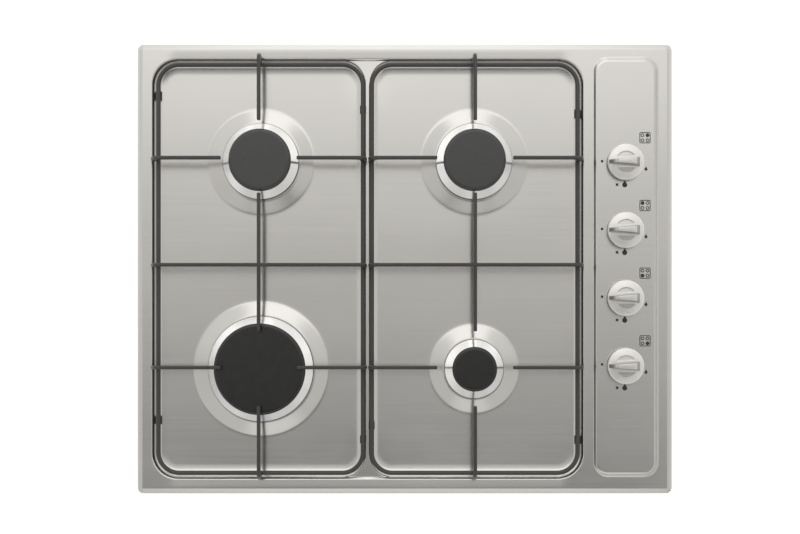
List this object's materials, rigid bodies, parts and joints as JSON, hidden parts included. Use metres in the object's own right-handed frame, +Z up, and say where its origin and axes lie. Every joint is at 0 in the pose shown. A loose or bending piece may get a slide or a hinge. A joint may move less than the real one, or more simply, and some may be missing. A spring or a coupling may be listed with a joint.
{
  "type": "gas cooktop",
  "caption": "Built-in gas hob: pressed stainless-steel top with side-by-side wells, wire pan supports, lift-off crowns and caps, and a raised side panel with push-and-turn knobs.",
  "frame": {"origin": "centre of the plan outline, on the underside of the burner box", "axes": "+Z up, +X to the control panel side, +Y to the rear, away from the cook"},
  "size_m": [0.595, 0.5, 0.072],
  "materials": {
    "stainless": "satin, fine brushing along X",
    "foam": "closed-cell foam, matt",
    "zinc": "galvanised sheet, dull",
    "enamel": "dark grey enamel, satin",
    "cap_enamel": "dark grey enamel, matt",
    "rubber": "matt",
    "crown": "turned, fine",
    "cast_aluminium": "die cast, matt",
    "pipe": "drawn, smooth",
    "brass": "machined",
    "steel": "zinc plated",
    "knob": "metallic silver, satin"
  },
  "bodies": {
    "hob": {"hob_plate": "stainless", "worktop_seal": "foam", "burner_box": "zinc", "burner_cup_rear_left": "cast_aluminium", "burner_cup_rear_right": "cast_aluminium", "burner_cup_front_left": "cast_aluminium", "burner_cup_front_right": "cast_aluminium", "injector_rear_left": "brass", "injector_rear_right": "brass", "injector_front_left": "brass", "injector_front_right": "brass", "tap_body_1": "cast_aluminium", "tap_body_2": "cast_aluminium", "tap_body_3": "cast_aluminium", "tap_body_4": "cast_aluminium", "gas_rail": "steel", "inlet_elbow": "brass", "feed_pipe_1": "pipe", "feed_pipe_2": "pipe", "feed_pipe_3": "pipe", "feed_pipe_4": "pipe"},
    "pan_support_left": {"pan_support_left": "enamel", "foot_left_1": "rubber", "foot_left_2": "rubber", "foot_left_3": "rubber", "foot_left_4": "rubber"},
    "pan_support_right": {"pan_support_right": "enamel", "foot_right_1": "rubber", "foot_right_2": "rubber", "foot_right_3": "rubber"},
    "crown_rear_left": {"crown_rear_left": "crown"},
    "crown_rear_right": {"crown_rear_right": "crown"},
    "crown_front_left": {"crown_front_left": "crown"},
    "crown_front_right": {"crown_front_right": "crown"},
    "cap_rear_left": {"cap_rear_left": "cap_enamel"},
    "cap_rear_right": {"cap_rear_right": "cap_enamel"},
    "cap_front_left": {"cap_front_left": "cap_enamel"},
    "cap_front_right": {"cap_front_right": "cap_enamel"},
    "tap_plug_1": {"tap_plug_1": "brass"},
    "knob_1": {"knob_1": "knob", "tap_stem_1": "steel"},
    "tap_plug_2": {"tap_plug_2": "brass"},
    "knob_2": {"knob_2": "knob", "tap_stem_2": "steel"},
    "tap_plug_3": {"tap_plug_3": "brass"},
    "knob_3": {"knob_3": "knob", "tap_stem_3": "steel"},
    "tap_plug_4": {"tap_plug_4": "brass"},
    "knob_4": {"knob_4": "knob", "tap_stem_4": "steel"},
    "clamp_rear_left": {"clamp_rear_left": "steel"},
    "clamp_rear_right": {"clamp_rear_right": "steel"},
    "clamp_front_left": {"clamp_front_left": "steel"},
    "clamp_front_right": {"clamp_front_right": "steel"}
  },
  "joints": [
    {"name": "pan_support_left_lift", "type": "slide", "parent": "hob", "child": "pan_support_left", "axis": [0, 0, 1], "range_m": [0, 0.06]},
    {"name": "pan_support_right_lift", "type": "slide", "parent": "hob", "child": "pan_support_right", "axis": [0, 0, 1], "range_m": [0, 0.06]},
    {"name": "crown_rear_left_lift", "type": "slide", "parent": "hob", "child": "crown_rear_left", "axis": [0, 0, 1], "range_m": [0, 0.013]},
    {"name": "crown_rear_right_lift", "type": "slide", "parent": "hob", "child": "crown_rear_right", "axis": [0, 0, 1], "range_m": [0, 0.013]},
    {"name": "crown_front_left_lift", "type": "slide", "parent": "hob", "child": "crown_front_left", "axis": [0, 0, 1], "range_m": [0, 0.0012]},
    {"name": "crown_front_right_lift", "type": "slide", "parent": "hob", "child": "crown_front_right", "axis": [0, 0, 1], "range_m": [0, 0.04]},
    {"name": "cap_rear_left_lift", "type": "slide", "parent": "crown_rear_left", "child": "cap_rear_left", "axis": [0, 0, 1], "range_m": [0, 0.045]},
    {"name": "cap_rear_right_lift", "type": "slide", "parent": "crown_rear_right", "child": "cap_rear_right", "axis": [0, 0, 1], "range_m": [0, 0.045]},
    {"name": "cap_front_left_lift", "type": "slide", "parent": "crown_front_left", "child": "cap_front_left", "axis": [0, 0, 1], "range_m": [0, 0.0015]},
    {"name": "cap_front_right_lift", "type": "slide", "parent": "crown_front_right", "child": "cap_front_right", "axis": [0, 0, 1], "range_m": [0, 0.045]},
    {"name": "knob_1_turn", "type": "hinge", "parent": "hob", "child": "tap_plug_1", "pos_m": [0.2438, 0.1174, 0.03], "axis": [0, 0, 1], "range_deg": [0, 164]},
    {"name": "knob_1_push", "type": "slide", "parent": "tap_plug_1", "child": "knob_1", "axis": [0, 0, -1], "range_m": [0, 0.0035], "stiffness_N_per_m": 1500, "springref_m": -0.002},
    {"name": "knob_2_turn", "type": "hinge", "parent": "hob", "child": "tap_plug_2", "pos_m": [0.2438, 0.0424, 0.03], "axis": [0, 0, 1], "range_deg": [0, 164]},
    {"name": "knob_2_push", "type": "slide", "parent": "tap_plug_2", "child": "knob_2", "axis": [0, 0, -1], "range_m": [0, 0.0035], "stiffness_N_per_m": 1500, "springref_m": -0.002},
    {"name": "knob_3_turn", "type": "hinge", "parent": "hob", "child": "tap_plug_3", "pos_m": [0.2438, -0.0326, 0.03], "axis": [0, 0, 1], "range_deg": [0, 164]},
    {"name": "knob_3_push", "type": "slide", "parent": "tap_plug_3", "child": "knob_3", "axis": [0, 0, -1], "range_m": [0, 0.0035], "stiffness_N_per_m": 1500, "springref_m": -0.002},
    {"name": "knob_4_turn", "type": "hinge", "parent": "hob", "child": "tap_plug_4", "pos_m": [0.2438, -0.1076, 0.03], "axis": [0, 0, 1], "range_deg": [0, 164]},
    {"name": "knob_4_push", "type": "slide", "parent": "tap_plug_4", "child": "knob_4", "axis": [0, 0, -1], "range_m": [0, 0.0035], "stiffness_N_per_m": 1500, "springref_m": -0.002},
    {"name": "clamp_rear_left_swing", "type": "hinge", "parent": "hob", "child": "clamp_rear_left", "pos_m": [-0.217, 0.2295, 0.005], "axis": [0, 0, 1], "range_deg": [0, 90]},
    {"name": "clamp_rear_right_swing", "type": "hinge", "parent": "hob", "child": "clamp_rear_right", "pos_m": [0.217, 0.2295, 0.005], "axis": [0, 0, -1], "range_deg": [0, 90]},
    {"name": "clamp_front_left_swing", "type": "hinge", "parent": "hob", "child": "clamp_front_left", "pos_m": [-0.217, -0.2295, 0.005], "axis": [0, 0, -1], "range_deg": [0, 90]},
    {"name": "clamp_front_right_swing", "type": "hinge", "parent": "hob", "child": "clamp_front_right", "pos_m": [0.217, -0.2295, 0.005], "axis": [0, 0, 1], "range_deg": [0, 90]}
  ]
}
